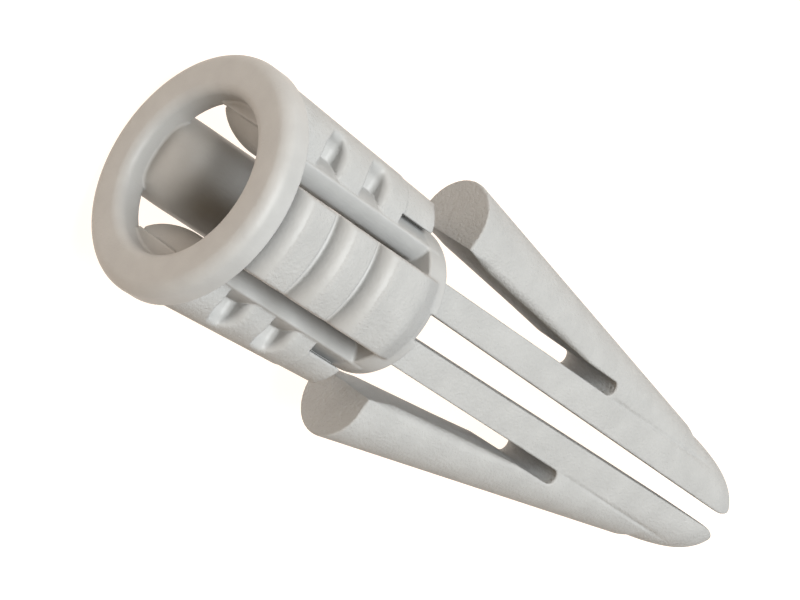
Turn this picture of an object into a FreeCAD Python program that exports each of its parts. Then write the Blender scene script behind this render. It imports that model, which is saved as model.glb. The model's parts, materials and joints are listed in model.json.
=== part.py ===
import FreeCAD, Part
import math
import os

# Plasterboard plug moulded in one piece from nylon: a collar, a ridged barrel that fills the
# drilled hole, and two legs behind it that carry spring wings. The moulding bends at four thin
# places, and it is divided there, and where one feature of the moulding meets the next.
#
# Millimetres. Origin: centre of the collar's front face, which ends up level with the wall.
# +Y runs along the plug into the wall, +X is to the right seen from the room, +Z is up.
# The plug is the same on the left as on the right, and the same below as above.

# Collar
COLLAR_R = 5.25
COLLAR_THICK = 1.25
COLLAR_HOLE_R = 3.5
COLLAR_EDGE_ROUND = 0.5
COLLAR_LIP_ROUND = 0.4

# Barrel: a thin core tube under four staves, tapered a little towards its tail
BARREL_FRONT_R = 5.06
BARREL_TAIL_R = 4.56
BARREL_TAIL_Y = 11.74
CORE_R = 3.43
END_PLATE_Y = 11.25
END_PLATE_THICK = 1.15

# Grip ridges: hollows at an even pitch, cut across every stave. Each has an upright wall on
# the collar's side, and the wall on the tail's side rounds over onto the next ridge.
HOLLOW_FIRST_Y = 2.0
HOLLOW_PITCH = 2.71
HOLLOW_COUNT = 3
HOLLOW_WIDTH = 1.6
HOLLOW_DEPTH = 0.85
HOLLOW_ROUND = 0.8

# Top and bottom staves
STAVE_HALF_WIDTH = 1.85
STAVE_RAMP_Y = 10.1
STAVE_RAMP_END_Y = 11.9
BORE_HALF_HEIGHT = 1.7
BORE_CROWN_R = 4.16
BORE_MOUTH_ROUND = 0.55

# Side staves: half-round bars beside the bore, with pockets that leave their outer edge whole
BORE_HALF_WIDTH = 1.93
BORE_FLAT_HALF_HEIGHT = 1.2
SIDE_BAR_R = 1.8
SIDE_BAR_END_Y = 11.22
SIDE_NUB_HALF_HEIGHT = 0.4
SIDE_NUB_ROOT_HALF_HEIGHT = 1.0
RIDGE_INNER_X = 2.9
TAIL_INNER_X = 3.37
TAIL_NOTCH_Y = 9.15
POCKET_OUTER_X = 4.45
POCKET_DEPTH = 1.05

# Legs, which a screw pushes apart
LEG_HALF_HEIGHT = 1.95
LEG_INNER_X = 0.635
LEG_OUTER_X = 2.04
LEG_TIP_INNER_X = 0.42
LEG_SLOT_FLOOR_Y = 11.65
LEG_SLOT_HALF_WIDTH = 0.65

# Wings and the arrow tips that carry them: half-round bars
WING_END_Y = 13.2
WING_END_OUTER_X = 6.35
WING_END_INNER_X = 3.75
WING_NECK_INNER_X = 2.75
WING_NECK_Y = 23.0
WING_HINGE_Y = 25.5

# Nose: the arrow tips are rounded off together, by half of an egg on the plug's axis
NOSE_START_Y = 33.0
NOSE_START_R = 3.05
NOSE_REACH = 5.25

# Bending places: the moving side is a half disc in a seat that is wider by this much all round
HINGE_GAP = 0.03

# Longer than anything that it is used to cut
FAR = 20.0

ORIGIN = FreeCAD.Vector(0, 0, 0)
ALONG_X = FreeCAD.Vector(1, 0, 0)
ALONG_Y = FreeCAD.Vector(0, 1, 0)
ALONG_Z = FreeCAD.Vector(0, 0, 1)

END_Y = END_PLATE_Y + END_PLATE_THICK


def barrel_radius(y):
    """Outer radius of the tapered barrel at a distance y behind the collar's front face."""
    share = (y - COLLAR_THICK) / (BARREL_TAIL_Y - COLLAR_THICK)
    return BARREL_FRONT_R + share * (BARREL_TAIL_R - BARREL_FRONT_R)


def wing_outer_x(y):
    """Half width over the wings: one straight line from the wing's end to the start of the nose."""
    share = (y - WING_END_Y) / (NOSE_START_Y - WING_END_Y)
    return WING_END_OUTER_X + share * (NOSE_START_R - WING_END_OUTER_X)


def wing_inner_x(y):
    """Inner face of the wing, which narrows from its end to the neck and is straight from there."""
    share = min(1.0, (y - WING_END_Y) / (WING_NECK_Y - WING_END_Y))
    return WING_END_INNER_X + share * (WING_NECK_INNER_X - WING_END_INNER_X)


def box(x0, x1, y0, y1, z0, z1):
    return Part.makeBox(x1 - x0, y1 - y0, z1 - z0, FreeCAD.Vector(x0, y0, z0))


def revolved(outline):
    """Solid of revolution about the plug's axis, from corners given as (radius, y)."""
    corners = [FreeCAD.Vector(r, y, 0) for r, y in outline]
    face = Part.Face(Part.makePolygon(corners + corners[:1]))
    return face.revolve(ORIGIN, ALONG_Y, 360)


def upright_slab(edges, half_height):
    """Plan outline in the XY plane, drawn up and down to the same height."""
    lift = FreeCAD.Vector(0, 0, -half_height)
    face = Part.Face(Part.Wire(edges))
    face.translate(lift)
    return face.extrude(lift * -2)


def polyline(points):
    """Straight edges through the given (x, y) points."""
    corners = [FreeCAD.Vector(x, y, 0) for x, y in points]
    return [Part.makeLine(a, b) for a, b in zip(corners, corners[1:])]


def other_side(shape):
    """The same piece on the opposite side of the plug's axis."""
    return shape.rotated(ORIGIN, ALONG_Y, 180)


def hollow_centres():
    return [HOLLOW_FIRST_Y + i * HOLLOW_PITCH for i in range(HOLLOW_COUNT)]


def make_collar():
    ring = Part.makeCylinder(COLLAR_R, COLLAR_THICK, ORIGIN, ALONG_Y)
    ring = ring.cut(Part.makeCylinder(COLLAR_HOLE_R, COLLAR_THICK, ORIGIN, ALONG_Y))
    for radius, rounding in ((COLLAR_R, COLLAR_EDGE_ROUND), (COLLAR_HOLE_R, COLLAR_LIP_ROUND)):
        front_edge = [
            e
            for e in ring.Edges
            if e.BoundBox.YMax < 1e-3 and abs(e.BoundBox.XMax - radius) < 1e-3
        ]
        ring = ring.makeFillet(rounding, front_edge)
    return ring


def make_barrel_end():
    """Plate that closes the barrel: seats for the two legs, and the gap between them."""
    plate = Part.makeCylinder(CORE_R, END_PLATE_THICK, ALONG_Y * END_PLATE_Y, ALONG_Y)
    gap = box(-LEG_SLOT_HALF_WIDTH, LEG_SLOT_HALF_WIDTH, LEG_SLOT_FLOOR_Y, FAR, -FAR, FAR)
    plate = plate.cut(gap)
    seat_height = LEG_HALF_HEIGHT + HINGE_GAP
    seat = Part.makeCylinder(
        leg_hinge_radius() + HINGE_GAP,
        2 * seat_height,
        FreeCAD.Vector(leg_hinge_x(), END_Y, -seat_height),
        ALONG_Z,
    )
    screw_hole = Part.makeCylinder(LEG_SLOT_HALF_WIDTH, FAR, ORIGIN, ALONG_Y)
    return plate.cut(seat).cut(other_side(seat)).cut(screw_hole)


def core_tail():
    """Room of the end plate, which the staves stop at or reach round."""
    return Part.makeCylinder(CORE_R, FAR, ALONG_Y * END_PLATE_Y, ALONG_Y)


def hollow_section(y, x, land, depth):
    """Section of one hollow below a ridge whose top is at the height land."""
    front, rear = y - HOLLOW_WIDTH / 2, y + HOLLOW_WIDTH / 2
    foot, shoulder = rear - HOLLOW_ROUND, land - HOLLOW_ROUND
    slant = HOLLOW_ROUND * math.sqrt(0.5)
    middle = FreeCAD.Vector(x, rear - slant, shoulder + slant)
    floor = land - depth
    path = [(rear, land), (rear, FAR), (front, FAR), (front, floor), (foot, floor), (foot, shoulder)]
    corners = [FreeCAD.Vector(x, *corner) for corner in path]
    sides = [Part.makeLine(a, b) for a, b in zip(corners, corners[1:])]
    round_over = Part.Arc(corners[-1], middle, corners[0]).toShape()
    return Part.Face(Part.Wire(sides + [round_over]))


def make_top_stave():
    """Ridged stave over the bore, with a crowned inner face and a ramp at its tail."""
    ridged = revolved(
        [
            (0, COLLAR_THICK),
            (barrel_radius(COLLAR_THICK), COLLAR_THICK),
            (barrel_radius(STAVE_RAMP_Y), STAVE_RAMP_Y),
            (CORE_R, STAVE_RAMP_END_Y),
            (0, STAVE_RAMP_END_Y),
        ]
    )
    for y in hollow_centres():
        section = hollow_section(y, 0, barrel_radius(y), HOLLOW_DEPTH)
        ridged = ridged.cut(section.revolve(ORIGIN, ALONG_Y, 360))
    stave = ridged.common(box(-STAVE_HALF_WIDTH, STAVE_HALF_WIDTH, 0, FAR, 0, FAR))
    crown_axis = FreeCAD.Vector(0, 0, BORE_HALF_HEIGHT + BORE_CROWN_R)
    stave = stave.common(Part.makeCylinder(BORE_CROWN_R, FAR, crown_axis, ALONG_Y))
    mouth_edge = [
        e
        for e in stave.Edges
        if e.BoundBox.YMax < COLLAR_THICK + 1e-3 and e.BoundBox.ZMin < BORE_HALF_HEIGHT + 1e-3
    ]
    stave = stave.makeFillet(BORE_MOUTH_ROUND, mouth_edge)
    return stave.cut(core_tail())


def side_core():
    """Wall of the core tube beside the bore, with bulging flanks towards the grooves."""
    edge_z = math.sqrt(CORE_R**2 - RIDGE_INNER_X**2)
    inner_low = FreeCAD.Vector(BORE_HALF_WIDTH, COLLAR_THICK, -BORE_FLAT_HALF_HEIGHT)
    inner_high = FreeCAD.Vector(BORE_HALF_WIDTH, COLLAR_THICK, BORE_FLAT_HALF_HEIGHT)
    edge_low = FreeCAD.Vector(RIDGE_INNER_X, COLLAR_THICK, -edge_z)
    edge_high = FreeCAD.Vector(RIDGE_INNER_X, COLLAR_THICK, edge_z)
    outer = FreeCAD.Vector(CORE_R, COLLAR_THICK, 0)
    chord = edge_high - inner_high
    bulge = 0.1 * FreeCAD.Vector(-chord.z, 0, chord.x)
    high_middle = (inner_high + edge_high) * 0.5 + bulge
    low_middle = FreeCAD.Vector(high_middle.x, high_middle.y, -high_middle.z)
    section = Part.Wire(
        [
            Part.makeLine(inner_low, inner_high),
            Part.Arc(inner_high, high_middle, edge_high).toShape(),
            Part.Arc(edge_high, outer, edge_low).toShape(),
            Part.Arc(edge_low, low_middle, inner_low).toShape(),
        ]
    )
    return Part.Face(section).extrude(ALONG_Y * (END_PLATE_Y - COLLAR_THICK))


def side_pocket(y):
    """Pocket across the top of a side stave, at one of the hollows."""
    section = hollow_section(y, RIDGE_INNER_X, SIDE_BAR_R, POCKET_DEPTH)
    return section.extrude(ALONG_X * (POCKET_OUTER_X - RIDGE_INNER_X))


def side_bar_room():
    """Length of a side stave seen from the side, with the nub at its tail."""
    outline = [
        (COLLAR_THICK, -FAR),
        (SIDE_BAR_END_Y, -FAR),
        (SIDE_BAR_END_Y, -SIDE_NUB_ROOT_HALF_HEIGHT),
        (BARREL_TAIL_Y, -SIDE_NUB_HALF_HEIGHT),
        (BARREL_TAIL_Y, SIDE_NUB_HALF_HEIGHT),
        (SIDE_BAR_END_Y, SIDE_NUB_ROOT_HALF_HEIGHT),
        (SIDE_BAR_END_Y, FAR),
        (COLLAR_THICK, FAR),
    ]
    corners = [FreeCAD.Vector(RIDGE_INNER_X, y, z) for y, z in outline]
    face = Part.Face(Part.makePolygon(corners + corners[:1]))
    return face.extrude(ALONG_X * FAR)


def make_right_stave():
    """Stave beside the bore: a ridged half-round bar on the wall of the core tube."""
    front = FreeCAD.Vector(BARREL_FRONT_R, COLLAR_THICK, 0)
    tail = FreeCAD.Vector(BARREL_TAIL_R, BARREL_TAIL_Y, 0)
    bar = half_round_bar(front, tail, SIDE_BAR_R).common(side_bar_room())
    bar = bar.cut(box(0, TAIL_INNER_X, TAIL_NOTCH_Y, FAR, -FAR, FAR))
    for y in hollow_centres():
        pocket = side_pocket(y)
        bar = bar.cut(pocket).cut(pocket.mirror(ORIGIN, ALONG_Z))
    return side_core().fuse(bar).removeSplitter().cut(core_tail())


def leg_hinge_x():
    return (LEG_INNER_X + LEG_OUTER_X) / 2


def leg_hinge_radius():
    return (LEG_OUTER_X - LEG_INNER_X) / 2


def wing_hinge_x():
    return (WING_NECK_INNER_X + wing_outer_x(WING_HINGE_Y)) / 2


def wing_hinge_radius():
    return (wing_outer_x(WING_HINGE_Y) - WING_NECK_INNER_X) / 2 - 0.01


def half_round_bar(start, end, radius):
    """Long bar, flat inside and half round outside, with its outermost line through two points."""
    run = end - start
    run.normalize()
    outward = run.cross(ALONG_Z)
    up = ALONG_Z * radius
    axis_start = start - outward * radius - run * FAR
    inside = axis_start - outward * FAR
    section = Part.Wire(
        [
            Part.makeLine(inside - up, axis_start - up),
            Part.Arc(axis_start - up, axis_start + outward * radius, axis_start + up).toShape(),
            Part.makeLine(axis_start + up, inside + up),
            Part.makeLine(inside + up, inside - up),
        ]
    )
    return Part.Face(section).extrude(run * 3 * FAR)


def wing_bar():
    """Space that the leg, tip and wing of the right side fill together."""
    wing_end = FreeCAD.Vector(WING_END_OUTER_X, WING_END_Y, 0)
    nose_start = FreeCAD.Vector(NOSE_START_R, NOSE_START_Y, 0)
    return half_round_bar(wing_end, nose_start, LEG_HALF_HEIGHT)


def nose_room():
    """Everything before the nose, and the egg shape that rounds the nose off."""
    before = Part.makeCylinder(FAR, NOSE_START_Y, ORIGIN, ALONG_Y)
    centre = FreeCAD.Vector(0, NOSE_START_Y, 0)
    end = centre + ALONG_Y * NOSE_REACH
    side = centre + ALONG_X * NOSE_START_R
    egg_line = Part.Ellipse(end, side, centre).toShape()
    quarter = Part.Face(Part.Wire(egg_line)).common(
        Part.Face(Part.makePolygon([centre, centre + ALONG_X * FAR, end + ALONG_X * FAR, end, centre]))
    )
    egg = quarter.Faces[0].revolve(ORIGIN, ALONG_Y, 360)
    return before.fuse(egg)


def tip_outline():
    """Plan of one leg with its arrow tip, from the leg's root past the nose to the wing's neck."""
    nose_end_y = NOSE_START_Y + NOSE_REACH
    return polyline(
        [
            (LEG_INNER_X, END_Y),
            (LEG_TIP_INNER_X, nose_end_y),
            (wing_outer_x(nose_end_y), nose_end_y),
            (wing_outer_x(WING_HINGE_Y), WING_HINGE_Y),
            (LEG_OUTER_X, WING_HINGE_Y),
            (LEG_OUTER_X, END_Y),
            (LEG_INNER_X, END_Y),
        ]
    )


def leg_and_tip():
    """Leg and arrow tip of the right side, before they are divided."""
    slab = upright_slab(tip_outline(), LEG_HALF_HEIGHT)
    return slab.common(wing_bar()).common(nose_room())


def hinge_disc(x, y, radius):
    """Round root of a bending place, upright and as high as a leg."""
    foot = FreeCAD.Vector(x, y, -LEG_HALF_HEIGHT)
    return Part.makeCylinder(radius, 2 * LEG_HALF_HEIGHT, foot, ALONG_Z)


def make_right_leg():
    """Flat bar from the barrel's end to the nose."""
    bar = leg_and_tip().common(box(0, LEG_OUTER_X, 0, 2 * FAR, -FAR, FAR))
    root = hinge_disc(leg_hinge_x(), END_Y, leg_hinge_radius())
    return bar.fuse(root).removeSplitter()


def make_right_tip():
    """Wedge outside the leg that carries the wing, with the seat for the wing's root."""
    wedge = leg_and_tip().common(box(LEG_OUTER_X, FAR, WING_HINGE_Y, 2 * FAR, -FAR, FAR))
    seat_r = wing_hinge_radius() + HINGE_GAP
    return wedge.cut(hinge_disc(wing_hinge_x(), WING_HINGE_Y, seat_r))


def make_right_wing():
    """Spring wing: runs back from the tip towards the barrel, away from the leg."""
    outline = polyline(
        [
            (wing_inner_x(WING_END_Y), WING_END_Y),
            (wing_outer_x(WING_END_Y), WING_END_Y),
            (wing_outer_x(WING_HINGE_Y), WING_HINGE_Y),
            (wing_inner_x(WING_HINGE_Y), WING_HINGE_Y),
            (wing_inner_x(WING_NECK_Y), WING_NECK_Y),
            (wing_inner_x(WING_END_Y), WING_END_Y),
        ]
    )
    arm = upright_slab(outline, LEG_HALF_HEIGHT)
    root = hinge_disc(wing_hinge_x(), WING_HINGE_Y, wing_hinge_radius())
    return arm.fuse(root).common(wing_bar()).removeSplitter()


def make_parts():
    top_stave = make_top_stave()
    parts = {
        "collar": make_collar(),
        "barrel_end": make_barrel_end(),
        "top_stave": top_stave,
        "bottom_stave": other_side(top_stave),
    }
    right_pieces = {
        "stave": make_right_stave(),
        "leg": make_right_leg(),
        "tip": make_right_tip(),
        "wing": make_right_wing(),
    }
    for name, shape in right_pieces.items():
        parts["right_" + name] = shape
        parts["left_" + name] = other_side(shape)
    return parts


os.makedirs("parts", exist_ok=True)
for node, solid in make_parts().items():
    solid.exportStep(f"parts/{node}.step")
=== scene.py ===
import json
import math

import bpy
import numpy as np
from mathutils import Matrix, Vector


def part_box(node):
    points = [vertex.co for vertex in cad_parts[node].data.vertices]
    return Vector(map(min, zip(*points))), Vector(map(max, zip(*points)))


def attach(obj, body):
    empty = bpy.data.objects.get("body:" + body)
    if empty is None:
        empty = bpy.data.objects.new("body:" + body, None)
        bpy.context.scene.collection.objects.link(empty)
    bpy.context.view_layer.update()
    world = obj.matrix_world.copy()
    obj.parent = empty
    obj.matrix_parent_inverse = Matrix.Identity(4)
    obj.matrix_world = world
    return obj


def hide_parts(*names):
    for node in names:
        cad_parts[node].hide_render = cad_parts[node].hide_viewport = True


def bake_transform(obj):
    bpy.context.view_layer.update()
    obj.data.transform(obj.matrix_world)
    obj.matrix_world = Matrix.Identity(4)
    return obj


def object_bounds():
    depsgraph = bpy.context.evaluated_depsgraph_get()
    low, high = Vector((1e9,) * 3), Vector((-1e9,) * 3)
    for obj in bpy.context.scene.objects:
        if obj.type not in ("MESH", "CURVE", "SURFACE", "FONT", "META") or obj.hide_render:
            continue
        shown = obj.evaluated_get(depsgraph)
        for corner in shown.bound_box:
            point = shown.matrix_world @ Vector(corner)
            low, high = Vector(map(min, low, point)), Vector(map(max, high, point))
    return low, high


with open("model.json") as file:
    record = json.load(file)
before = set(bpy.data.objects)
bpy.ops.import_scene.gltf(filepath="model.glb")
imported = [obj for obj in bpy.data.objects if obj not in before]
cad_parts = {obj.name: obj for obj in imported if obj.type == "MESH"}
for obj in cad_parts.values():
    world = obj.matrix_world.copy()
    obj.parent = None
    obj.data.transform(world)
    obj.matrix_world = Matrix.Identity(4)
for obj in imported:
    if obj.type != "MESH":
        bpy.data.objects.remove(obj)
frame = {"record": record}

# The plug is one nylon moulding. Its skin is worked out as a distance field, negative inside the
# plastic, and meshed where the field is zero, so that edges and corners are rounded as they are
# in a mould. Lengths in the field are in millimetres, and the meshes are in metres.

CAD_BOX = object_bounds()
MM = 0.001


def node_box(node):
    """Lowest and highest corner of a CAD node, in millimetres."""
    low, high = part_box(node)
    return np.array(low) / MM, np.array(high) / MM


def joint_place(name):
    """Point that a joint turns about, in millimetres."""
    joint = next(j for j in frame["record"]["behaviour"]["joints"] if j["name"] == name)
    return np.array(joint["pos_m"]) / MM


# ---- sizes that the CAD frame gives -------------------------------------------------------

_, COLLAR_HIGH = node_box("collar")
END_LOW, END_HIGH = node_box("barrel_end")
TOP_LOW, TOP_HIGH = node_box("top_stave")
SIDE_LOW, SIDE_HIGH = node_box("right_stave")
LEG_LOW, LEG_HIGH = node_box("right_leg")
WING_LOW, WING_HIGH = node_box("right_wing")
LEG_HINGE = joint_place("right_leg_spread")
WING_HINGE = joint_place("right_wing_fold")
SCREW_ENTRY = next(m for m in frame["record"]["mounts"] if m["name"] == "screw_entry")

COLLAR_R, COLLAR_THICK = COLLAR_HIGH[0], COLLAR_HIGH[1]
COLLAR_HOLE_R = SCREW_ENTRY["dims"]["r_mm"]
BARREL_FRONT_R, BARREL_TAIL_Y = SIDE_HIGH[0], SIDE_HIGH[1]
CORE_R = END_HIGH[0]
PLATE_Y, END_Y = END_LOW[1], END_HIGH[1]
STAVE_HALF_WIDTH = TOP_HIGH[0]
RAMP_END_Y = TOP_HIGH[1]
BORE_HALF_HEIGHT = TOP_LOW[2]
BORE_HALF_WIDTH = SIDE_LOW[0]
LEG_TIP_INNER_X, LEG_OUTER_X = LEG_LOW[0], LEG_HIGH[0]
BAR_R = LEG_HIGH[2]
PLUG_LENGTH = LEG_HIGH[1]
LEG_INNER_X = 2 * LEG_HINGE[0] - LEG_OUTER_X
WING_OUTER_X, WING_END_Y = WING_HIGH[0], WING_LOW[1]

# ---- details of the moulding, in millimetres ----------------------------------------------

BARREL_TAIL_R = 4.56
COLLAR_EDGE_ROUND = 0.5
COLLAR_LIP_ROUND = 0.4
COLLAR_DOME = 0.05
COLLAR_DOME_R = 4.3
COLLAR_DOME_HALF_WIDTH = 0.9
COLLAR_BACK_ROUND = 0.1
COLLAR_SHIFT_X = 0.07
HOLLOW_FIRST_Y = 2.0
HOLLOW_PITCH = 2.71
HOLLOWS_Y = [HOLLOW_FIRST_Y + HOLLOW_PITCH * i for i in range(3)]
HOLLOW_HALF = 0.8
HOLLOW_DEPTH = 0.85
HOLLOW_FLOOR_ROUND = 0.1
HOLLOW_CREST_ROUND = 0.2
HOLLOW_REAR_ROUND = 0.8
STAVE_SHIFT_X = 0.05
STAVE_DRAFT = 0.09
STAVE_DRAFT_TOP_Z = 4.6
STAVE_DRAFT_HEIGHT = 0.65
RAMP_Y = 10.1
RAMP_ROUND = 0.2
CROWN_R = 3.2
INNER_EDGE_ROUND = 0.15
THUMB_ROUND = 0.6
THUMB_NARROWING = 0.05
THUMB_NARROWING_HEIGHT = 0.25
SIDE_BAR_R = 1.8
SIDE_BAR_END_Y = 11.22
SIDE_BAR_END_ROUND = 0.15
SIDE_NUB_HALF_HEIGHT = 0.6
SIDE_CORE_ROUND = 0.06
SIDE_CORE_SHORT = 0.5
RIDGE_INNER_X = 2.9
TAIL_INNER_X = 3.37
TAIL_NOTCH_Y = 9.15
TAIL_STEP = 0.04
TAIL_STEP_LENGTH = 0.1
POCKET_OUTER_X = 4.45
POCKET_DEPTH = 1.05
POCKET_END_ROUND = 0.7
POCKET_REAR_ROUND = 0.4
POCKET_FLOOR_ROUND = 0.3
FLANK_CENTRE = (3.244, 0.449)
FLANK_R = 1.513
MOUTH_Y = 1.0
TOP_MOUTH_ROUND = 1.5
SIDE_MOUTH_ROUND = 2.0
LEG_GAP_HALF = 0.65
LEG_GAP_FLOOR_Y = 11.65
PLATE_ROUND = 0.12
JOIN_FILLET = 0.12
NOSE_START_Y = 33.0
NOSE_START_R = 3.05
NOSE_REACH = 5.25
NOSE_EDGE = 0.5
WING_INNER_Y = (13.2, 15.0, 20.0, 23.0, 26.0)
WING_INNER_X = (3.75, 3.42, 3.0, 2.75, 2.75)
SLOT_END_ROUND = 0.34
CREASE_DEPTH = 0.06
CREASE_HALF_WIDTH = 0.09
DISH_DEPTH = 0.07
DISH_HALF_WIDTH = 0.6
CREASE_START_LENGTH = 0.8
CREASE_END_Y, CREASE_END_LENGTH = 35.5, 3
DISH_END_Y, DISH_END_LENGTH = 36.5, 4
LEG_ROOT_LENGTH = 0.15
LEG_ROOT_ROUND = 0.05
FINE_EDGE = 0.09
WING_EDGE = 0.45
WING_EDGE_INNER_X, WING_EDGE_WIDTH = 2.3, 0.4
WING_EDGE_END_Y, WING_EDGE_FADE = 24.5, 5
WING_EDGE_START, WING_EDGE_RISE = 0.3, 1.2

BARREL_PITCH = 0.085
LEG_PITCH = 0.075


# ---- distance field helpers ---------------------------------------------------------------


def both(a, b, r):
    """Where two solids overlap, with the edge between their surfaces rounded to radius r."""
    over = np.hypot(np.maximum(a + r, 0), np.maximum(b + r, 0))
    return np.minimum(np.maximum(a, b), -r) + over


def either(a, b, r):
    """Two solids joined, with a fillet of radius r in the corner between them."""
    return -both(-a, -b, r)


def smooth_step(t):
    t = np.clip(t, 0, 1)
    return t * t * (3 - 2 * t)


def barrel_radius(y):
    share = (y - COLLAR_THICK) / (BARREL_TAIL_Y - COLLAR_THICK)
    return BARREL_FRONT_R + share * (BARREL_TAIL_R - BARREL_FRONT_R)


def half_round(across, height, radius):
    """Bar with a round outer side where across is positive, and flat above on the inner side."""
    return np.where(across > 0, np.hypot(across, height), height) - radius


def bevel(rho, y, start, end):
    """Cone through two (radius, y) points of the outside."""
    run = np.array(end) - np.array(start)
    out = np.array((run[1], -run[0])) / math.hypot(*run)
    return (rho - start[0]) * out[0] + (y - start[1]) * out[1]


# ---- the barrel ---------------------------------------------------------------------------


def collar_field(rho, y):
    front = COLLAR_DOME * ((rho - COLLAR_DOME_R) / COLLAR_DOME_HALF_WIDTH) ** 2 - y
    ring = both(rho - COLLAR_R, front, COLLAR_EDGE_ROUND)
    ring = both(ring, COLLAR_HOLE_R - rho, COLLAR_LIP_ROUND)
    return both(ring, y - COLLAR_THICK, COLLAR_BACK_ROUND)


def hollow_span(past_centre, rear_round):
    """Length of a hollow, from the upright wall to the foot of the rounded one."""
    return np.maximum(-HOLLOW_HALF - past_centre, past_centre - HOLLOW_HALF + rear_round)


def hollow_round(past_centre, rear_round):
    """Edge radius of a hollow: small on the collar's side, large on the tail's side."""
    share = smooth_step((past_centre + HOLLOW_HALF) / HOLLOW_HALF)
    return HOLLOW_CREST_ROUND + share * (rear_round - HOLLOW_CREST_ROUND)


def top_stave_field(x, y, z, rho):
    draft = STAVE_DRAFT * np.clip(STAVE_DRAFT_TOP_Z - z, 0, STAVE_DRAFT_HEIGHT)
    below_core = (CORE_R - rho) / (THUMB_NARROWING_HEIGHT * CORE_R)
    narrowing = THUMB_NARROWING * smooth_step(below_core)
    side = np.abs(x - STAVE_SHIFT_X) - STAVE_HALF_WIDTH - draft + narrowing
    crown = np.hypot(x, z - BORE_HALF_HEIGHT - CROWN_R) - CROWN_R
    ramp = bevel(rho, y, (barrel_radius(RAMP_Y), RAMP_Y), (CORE_R, RAMP_END_Y))
    outside = both(rho - barrel_radius(y), ramp, RAMP_ROUND)
    for centre in HOLLOWS_Y:
        floor = barrel_radius(centre) - HOLLOW_DEPTH - rho
        hollow = both(hollow_span(y - centre, HOLLOW_REAR_ROUND), floor, HOLLOW_FLOOR_ROUND)
        outside = both(outside, -hollow, hollow_round(y - centre, HOLLOW_REAR_ROUND))
    inside = both(MOUTH_Y - y, crown, TOP_MOUTH_ROUND)
    thumb = smooth_step((MOUTH_Y + TOP_MOUTH_ROUND - y) / TOP_MOUTH_ROUND)
    stave = both(both(outside, side, FINE_EDGE), inside, INNER_EDGE_ROUND + THUMB_ROUND * thumb)
    return both(stave, y - END_Y, FINE_EDGE)


def side_stave_field(x, y, z, rho):
    inner = both(BORE_HALF_WIDTH - x, MOUTH_Y - y, SIDE_MOUTH_ROUND)
    flank = np.hypot(x - FLANK_CENTRE[0], z - FLANK_CENTRE[1]) - FLANK_R
    core = both(both(inner, flank, INNER_EDGE_ROUND), rho - CORE_R, SIDE_CORE_ROUND)
    core = both(core, y - END_Y + SIDE_CORE_SHORT, FINE_EDGE)
    past_notch = smooth_step((y - TAIL_NOTCH_Y) / TAIL_STEP_LENGTH)
    bar_x = barrel_radius(y) - SIDE_BAR_R
    bar = half_round(x - bar_x, z, SIDE_BAR_R) + TAIL_STEP * past_notch
    nub = (BARREL_TAIL_Y - SIDE_BAR_END_Y) * np.exp(-((z / SIDE_NUB_HALF_HEIGHT) ** 2))
    bar = both(bar, y - SIDE_BAR_END_Y - nub, SIDE_BAR_END_ROUND)
    bar = both(bar, RIDGE_INNER_X - x, FINE_EDGE)
    bar = both(bar, MOUTH_Y - y, FINE_EDGE)
    notch = np.maximum(x - TAIL_INNER_X, TAIL_NOTCH_Y - y)
    bar = both(bar, -notch, FINE_EDGE)
    for centre in HOLLOWS_Y:
        span = hollow_span(y - centre, POCKET_REAR_ROUND)
        pocket = both(span, SIDE_BAR_R - POCKET_DEPTH - z, POCKET_FLOOR_ROUND)
        pocket = both(pocket, x - POCKET_OUTER_X, POCKET_END_ROUND)
        bar = both(bar, -pocket, hollow_round(y - centre, POCKET_REAR_ROUND))
    return either(core, bar, SIDE_CORE_ROUND)


def end_plate_field(x, y, rho):
    plate = both(rho - CORE_R, y - END_Y, PLATE_ROUND)
    plate = both(plate, PLATE_Y - y, FINE_EDGE)
    gap = np.maximum(x - LEG_GAP_HALF, LEG_GAP_FLOOR_Y - y)
    plate = both(plate, -gap, FINE_EDGE)
    return both(plate, LEG_GAP_HALF - rho, FINE_EDGE)


def barrel_field(x, y, z):
    """Collar, four staves and end plate. The same below as above."""
    z = np.abs(z)
    rho = np.hypot(x, z)
    top = top_stave_field(x, y, z, rho)
    collar = collar_field(np.hypot(x - COLLAR_SHIFT_X, z), y)
    x = np.abs(x)
    staves = np.minimum(top, side_stave_field(x, y, z, rho))
    body = either(staves, end_plate_field(x, y, rho), JOIN_FILLET)
    return either(body, collar, JOIN_FILLET)


# ---- legs, tips and wings -----------------------------------------------------------------


OUTER_RUN = np.array((NOSE_START_R, NOSE_START_Y)) - np.array((WING_OUTER_X, WING_END_Y))
OUTWARD = np.array((OUTER_RUN[1], -OUTER_RUN[0])) / math.hypot(*OUTER_RUN)


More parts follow.
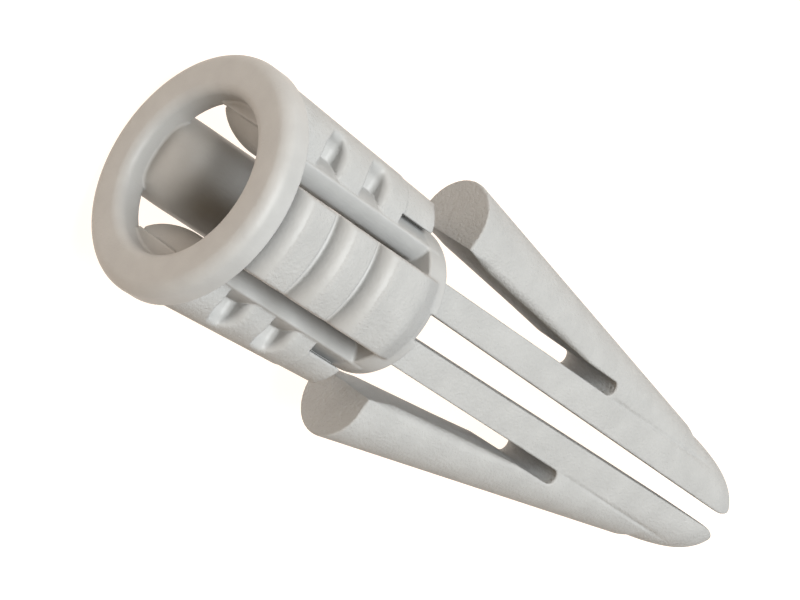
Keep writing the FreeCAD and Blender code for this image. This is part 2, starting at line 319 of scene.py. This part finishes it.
def right_side_field(x, y, z):
    """The right leg with its tip and wing. The same above as below."""
    z = np.abs(z)
    outward = (x - WING_OUTER_X) * OUTWARD[0] + (y - WING_END_Y) * OUTWARD[1] + BAR_R
    bar = half_round(outward, z, BAR_R)
    off_crease = x - LEG_OUTER_X
    crease = CREASE_DEPTH * np.exp(-((off_crease / CREASE_HALF_WIDTH) ** 2))
    dish = DISH_DEPTH * np.exp(-((off_crease / DISH_HALF_WIDTH) ** 2))
    crease = crease * smooth_step((y - WING_HINGE[1]) / CREASE_START_LENGTH)
    crease = crease * smooth_step((CREASE_END_Y - y) / CREASE_END_LENGTH)
    dish = dish * smooth_step((DISH_END_Y - y) / DISH_END_LENGTH)
    bar = bar + crease + dish
    inner_x = LEG_INNER_X + (y - END_Y) / (PLUG_LENGTH - END_Y) * (LEG_TIP_INNER_X - LEG_INNER_X)
    body = both(bar, inner_x - x, FINE_EDGE)
    rho = np.hypot(x, z)
    egg = (np.hypot(rho / NOSE_START_R, (y - NOSE_START_Y) / NOSE_REACH) - 1) * NOSE_START_R
    before_nose = np.maximum(NOSE_START_Y - y, 0)
    nose = np.where(before_nose > 0, rho - NOSE_START_R, egg) - before_nose
    body = both(body, nose, NOSE_EDGE)
    beside_leg = LEG_OUTER_X - x
    wing_inner = np.interp(y, WING_INNER_Y, WING_INNER_X)
    slot = both(np.maximum(beside_leg, x - wing_inner), y - WING_HINGE[1], SLOT_END_ROUND)
    gap = np.minimum(slot, np.maximum(beside_leg, y - WING_END_Y))
    soft = smooth_step((x - WING_EDGE_INNER_X) / WING_EDGE_WIDTH)
    soft = soft * smooth_step((WING_EDGE_END_Y - y) / WING_EDGE_FADE)
    soft = soft * smooth_step((y - WING_END_Y - WING_EDGE_START) / WING_EDGE_RISE)
    body = both(body, -gap, FINE_EDGE + (WING_EDGE - FINE_EDGE) * soft)
    return both(body, END_Y - LEG_ROOT_LENGTH - y, LEG_ROOT_ROUND)


# ---- meshing ------------------------------------------------------------------------------


def axis_points(low, high, pitch):
    """Evenly spaced grid points that cover a stretch with two to spare at each end."""
    first = math.floor(low / pitch) - 2
    last = math.ceil(high / pitch) + 2
    return np.arange(first, last + 1) * pitch


def net_of(field, low, high, pitch):
    """Quads on the field's zero surface: one point in each grid cell that the surface crosses."""
    axes = [axis_points(a, b, pitch) for a, b in zip(low, high)]
    x, y, z = np.meshgrid(*axes, indexing="ij", sparse=True)
    values = np.broadcast_to(field(x, y, z), [len(a) for a in axes])
    inside = values < 0
    corners = [(i, j, k) for i in (0, 1) for j in (0, 1) for k in (0, 1)]
    size = np.array(values.shape) - 1

    def at_corner(array, c):
        return array[c[0] : c[0] + size[0], c[1] : c[1] + size[1], c[2] : c[2] + size[2]]

    filled = sum(at_corner(inside, c).astype(np.int8) for c in corners)
    cells = np.argwhere((filled > 0) & (filled < 8))
    value_at = {c: values[tuple((cells + c).T)] for c in corners}
    total = np.zeros((len(cells), 3))
    crossings = np.zeros(len(cells))
    for a in corners:
        for axis in range(3):
            if a[axis]:
                continue
            b = tuple(1 if i == axis else v for i, v in enumerate(a))
            va, vb = value_at[a], value_at[b]
            crossed = (va < 0) != (vb < 0)
            share = np.where(crossed, va / np.where(crossed, va - vb, 1), 0)
            point = np.array(a, float) + share[:, None] * (np.array(b) - np.array(a))
            total += point * crossed[:, None]
            crossings += crossed
    origin = np.array([a[0] for a in axes])
    points = origin + pitch * (cells + total / crossings[:, None])

    number = np.full(size, -1)
    number[tuple(cells.T)] = np.arange(len(cells))
    quads = []
    for axis in range(3):
        u, v = (axis + 1) % 3, (axis + 2) % 3
        start = [slice(1, -1)] * 3
        start[axis] = slice(0, -1)
        ahead = list(start)
        ahead[axis] = slice(1, None)
        here, there = inside[tuple(start)], inside[tuple(ahead)]
        for rising in (True, False):
            edges = np.argwhere(here & ~there if rising else ~here & there)
            edges[:, u] += 1
            edges[:, v] += 1
            around = []
            for du, dv in ((1, 1), (0, 1), (0, 0), (1, 0)):
                cell = edges.copy()
                cell[:, u] -= du
                cell[:, v] -= dv
                around.append(number[tuple(cell.T)])
            quads.append(np.stack(around if rising else around[::-1], axis=1))
    return points, np.concatenate(quads)


NUDGE = 0.015
SKIN_MOVES = 3
LEAST_SLOPE = 0.25


def gradient(field, points):
    """Outward direction of the field at each point, and the field itself."""
    value = field(*points.T)
    slope = np.empty_like(points)
    for axis in range(3):
        nudge = np.zeros(3)
        nudge[axis] = NUDGE
        slope[:, axis] = (field(*(points + nudge).T) - field(*(points - nudge).T)) / (2 * NUDGE)
    return slope, value


def skin_of(field, low, high, pitch):
    """Points, quads and point normals of a field's surface, each point moved onto the surface."""
    points, quads = net_of(field, low, high, pitch)
    for _ in range(SKIN_MOVES):
        slope, value = gradient(field, points)
        size = np.maximum((slope**2).sum(axis=1), LEAST_SLOPE)
        move = slope * (value / size)[:, None]
        points = points - np.clip(move, -pitch / 2, pitch / 2)
    slope, _ = gradient(field, points)
    normals = slope / np.maximum(np.linalg.norm(slope, axis=1), 1e-9)[:, None]
    return points, quads, normals


def piece_from(name, points, quads, normals, turn=False):
    """Mesh object from the quads it needs. turn takes it to the other side of the plug's axis."""
    used, quads = np.unique(quads, return_inverse=True)
    quads = quads.reshape(-1, 4)
    points, normals = points[used] * MM, normals[used]
    if turn:
        half_turn = np.array((-1, 1, -1))
        points, normals = points * half_turn, normals * half_turn
    mesh = bpy.data.meshes.new(name)
    mesh.from_pydata(points.tolist(), [], quads.tolist())
    mesh.shade_smooth()
    mesh.normals_split_custom_set_from_vertices(normals.tolist())
    mesh.validate()
    piece = bpy.data.objects.new(name, mesh)
    bpy.context.scene.collection.objects.link(piece)
    return piece


# ---- materials ----------------------------------------------------------------------------


CLOUD_SCALE = 0.9
DARKER, LIGHTER = 0.94, 1.04
ROUGHNESS_SPREAD = 0.06
STREAK_STRETCH = 0.9


def nylon(name, colour, roughness, grain_size, grain_depth, streaks):
    """Grey moulded nylon: cloudy colour, and a surface of spark-eroded grain or of fine streaks."""
    material = bpy.data.materials.new(name)
    material.use_nodes = True
    nodes, links = material.node_tree.nodes, material.node_tree.links
    shader = nodes["Principled BSDF"]
    shader.inputs["Specular IOR Level"].default_value = 0.35
    shader.inputs["IOR"].default_value = 1.5

    place = nodes.new("ShaderNodeTexCoord")
    in_mm = nodes.new("ShaderNodeMapping")
    in_mm.inputs["Scale"].default_value = (1 / MM, 1 / MM, 1 / MM)
    links.new(place.outputs["Object"], in_mm.inputs["Vector"])

    cloud = nodes.new("ShaderNodeTexNoise")
    cloud.inputs["Scale"].default_value = CLOUD_SCALE
    cloud.inputs["Detail"].default_value = 5
    links.new(in_mm.outputs["Vector"], cloud.inputs["Vector"])
    tint = nodes.new("ShaderNodeValToRGB")
    tint.color_ramp.elements[0].position = 0.3
    tint.color_ramp.elements[1].position = 0.7
    tint.color_ramp.elements[0].color = (*[c * DARKER for c in colour], 1)
    tint.color_ramp.elements[1].color = (*[c * LIGHTER for c in colour], 1)
    links.new(cloud.outputs["Fac"], tint.inputs["Fac"])
    links.new(tint.outputs["Color"], shader.inputs["Base Color"])

    gloss = nodes.new("ShaderNodeMapRange")
    gloss.inputs["To Min"].default_value = roughness - ROUGHNESS_SPREAD
    gloss.inputs["To Max"].default_value = roughness + ROUGHNESS_SPREAD
    links.new(cloud.outputs["Fac"], gloss.inputs["Value"])
    links.new(gloss.outputs["Result"], shader.inputs["Roughness"])

    stretch = nodes.new("ShaderNodeMapping")
    stretch.inputs["Scale"].default_value = (1, 1 - STREAK_STRETCH * streaks, 1)
    links.new(in_mm.outputs["Vector"], stretch.inputs["Vector"])
    grain = nodes.new("ShaderNodeTexNoise")
    grain.inputs["Scale"].default_value = 1 / grain_size
    grain.inputs["Detail"].default_value = 4
    grain.inputs["Roughness"].default_value = 0.6
    links.new(stretch.outputs["Vector"], grain.inputs["Vector"])
    bump = nodes.new("ShaderNodeBump")
    bump.inputs["Strength"].default_value = 1
    bump.inputs["Distance"].default_value = grain_depth * MM
    links.new(grain.outputs["Fac"], bump.inputs["Height"])
    links.new(bump.outputs["Normal"], shader.inputs["Normal"])
    return material


GREY = (0.35, 0.352, 0.348)
TEXTURED = nylon("nylon_textured", GREY, 0.78, 0.14, 0.06, 0.0)
SMOOTH = nylon("nylon_smooth", GREY, 0.48, 0.12, 0.012, 0.8)


def face_centres(points, quads):
    return points[quads].mean(axis=1)


def dress(piece, grained):
    """Two finishes on one piece: grained says for each face whether it has the eroded grain."""
    piece.data.materials.append(SMOOTH)
    piece.data.materials.append(TEXTURED)
    piece.data.polygons.foreach_set("material_index", grained.astype(np.int32))


# ---- the pieces ---------------------------------------------------------------------------


NEAR_SKIN = 0.06
NEAR_BAR = 0.07


def make_barrel():
    """Skin of the barrel, divided into collar, four staves and end plate."""
    margin = np.array((COLLAR_R, 0, COLLAR_R))
    points, quads, normals = skin_of(barrel_field, -margin, margin + (0, END_Y, 0), BARREL_PITCH)
    centre = face_centres(points, quads)
    x, y, z = np.abs(centre[:, 0]), centre[:, 1], np.abs(centre[:, 2])
    rho = np.hypot(x, z)
    on_side = (x > RIDGE_INNER_X - 0.02) | ((x > BORE_HALF_WIDTH - 0.05) & (z < x))
    region = {
        "collar_ring": y < COLLAR_THICK,
        "barrel_end_plate": y > PLATE_Y,
    }
    rest = ~(region["collar_ring"] | region["barrel_end_plate"])
    region["top_grip_stave"] = rest & ~on_side & (centre[:, 2] > 0)
    region["bottom_grip_stave"] = rest & ~on_side & (centre[:, 2] <= 0)
    region["right_grip_stave"] = rest & on_side & (centre[:, 0] > 0)
    region["left_grip_stave"] = rest & on_side & (centre[:, 0] <= 0)
    outside = np.abs(rho - barrel_radius(y)) < NEAR_SKIN
    ramp = (y > RAMP_Y) & (rho > CORE_R + 0.05)
    bar_x = barrel_radius(y) - SIDE_BAR_R
    on_bar = np.abs(half_round(x - bar_x, z, SIDE_BAR_R)) < NEAR_BAR
    on_bar &= (x > RIDGE_INNER_X) & (y < SIDE_BAR_END_Y)
    grained = (y > COLLAR_THICK) & (outside | ramp | on_bar)
    stands_for = {
        "collar_ring": "collar",
        "barrel_end_plate": "barrel_end",
        "top_grip_stave": "top_stave",
        "bottom_grip_stave": "bottom_stave",
        "right_grip_stave": "right_stave",
        "left_grip_stave": "left_stave",
    }
    for name, faces in region.items():
        piece = piece_from(name, points, quads[faces], normals)
        dress(piece, grained[faces])
        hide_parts(stands_for[name])
        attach(piece, "barrel")


SLOT_MIDDLE_X = (LEG_OUTER_X + WING_INNER_X[-1]) / 2
BEND_START = Vector((SLOT_MIDDLE_X, WING_HINGE[1], 0)) * MM
BEND_WAY = Vector((2, -1, 0)).normalized()
SIDE_MARGIN = 0.1


def make_side(side, skin, turn):
    """One leg with its tip, and the wing that bends from it, from the skin of the right side."""
    points, quads, normals = skin
    centre = face_centres(points, quads)
    past_bend = (centre - np.array(BEND_START) / MM) @ np.array(BEND_WAY) > 0
    on_wing = past_bend & (centre[:, 0] > SLOT_MIDDLE_X)

    leg = piece_from(f"{side}_leg_and_tip", points, quads[~on_wing], normals, turn)
    leg.data.materials.append(TEXTURED)
    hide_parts(f"{side}_leg", f"{side}_tip")
    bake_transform(leg)

    wing = piece_from(f"{side}_spring_wing", points, quads[on_wing], normals, turn)
    wing.data.materials.append(TEXTURED)
    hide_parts(f"{side}_wing")
    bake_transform(wing)


def make_both_sides():
    low = (LEG_TIP_INNER_X - SIDE_MARGIN, END_Y - LEG_ROOT_LENGTH - LEG_ROOT_ROUND, -BAR_R)
    high = (WING_OUTER_X, PLUG_LENGTH, BAR_R)
    skin = skin_of(right_side_field, low, high, LEG_PITCH)
    make_side("right", skin, turn=False)
    make_side("left", skin, turn=True)


make_barrel()
make_both_sides()


# ---- floor, light and camera --------------------------------------------------------------


def make_floor():
    """Plain floor that glows a little, so that it comes out almost white."""
    mesh = bpy.data.meshes.new("floor")
    reach = 3.0
    low = CAD_BOX[0][2]
    corners = [(-reach, -reach, low), (reach, -reach, low), (reach, reach, low), (-reach, reach, low)]
    mesh.from_pydata(corners, [], [(0, 1, 2, 3)])
    floor = bpy.data.objects.new("floor", mesh)
    bpy.context.scene.collection.objects.link(floor)
    material = bpy.data.materials.new("floor_white")
    material.use_nodes = True
    shader = material.node_tree.nodes["Principled BSDF"]
    shader.inputs["Base Color"].default_value = (0.15, 0.14, 0.13, 1)
    shader.inputs["Roughness"].default_value = 0.9
    shader.inputs["Emission Color"].default_value = (1.2, 1.05, 0.93, 1)
    shader.inputs["Emission Strength"].default_value = 1.0
    mesh.materials.append(material)


def area_light(name, place, size, power, colour):
    """Square soft light that faces the middle of the plug."""
    data = bpy.data.lights.new(name, "AREA")
    data.size = size
    data.energy = power
    data.color = colour
    light = bpy.data.objects.new(name, data)
    light.location = place
    aim = Vector(place) - LOOK_AT
    light.rotation_euler = aim.to_track_quat("Z", "Y").to_euler()
    bpy.context.scene.collection.objects.link(light)


def make_world():
    """Dim surroundings: warm in front of the plug, cool behind it."""
    world = bpy.data.worlds.new("studio")
    world.use_nodes = True
    nodes, links = world.node_tree.nodes, world.node_tree.links
    place = nodes.new("ShaderNodeTexCoord")
    split = nodes.new("ShaderNodeSeparateXYZ")
    links.new(place.outputs["Generated"], split.inputs["Vector"])
    sky = nodes.new("ShaderNodeValToRGB")
    sky.color_ramp.elements[0].color = (0.3, 0.18, 0.06, 1)
    sky.color_ramp.elements[1].color = (0.16, 0.24, 0.32, 1)
    links.new(split.outputs["Y"], sky.inputs["Fac"])
    links.new(sky.outputs["Color"], nodes["Background"].inputs["Color"])
    bpy.context.scene.world = world


LOOK_AT = Vector((-0.395, 13.26, 0)) * MM
CAMERA_DISTANCE = 111 * MM
CAMERA_RIGHT = Vector((-0.5608, 0.6099, 0.5600))
CAMERA_UP = Vector((-0.8280, -0.4107, -0.3819))
LENS = 118.4


def make_camera():
    """Camera at the photo's place, in front of the plug and above it."""
    data = bpy.data.cameras.new("camera")
    data.lens = LENS
    data.clip_start = 0.01
    camera = bpy.data.objects.new("camera", data)
    back = CAMERA_RIGHT.cross(CAMERA_UP).normalized()
    turn = Matrix((CAMERA_RIGHT, CAMERA_UP, back)).transposed().to_4x4()
    camera.matrix_world = Matrix.Translation(LOOK_AT + back * CAMERA_DISTANCE) @ turn
    bpy.context.scene.collection.objects.link(camera)
    bpy.context.scene.camera = camera


make_floor()
area_light("overhead", (-0.14, -0.1, 0.6), 0.36, 7.4, (0.94, 0.98, 1.0))
make_world()
make_camera()

bpy.context.scene.view_settings.view_transform = "Standard"
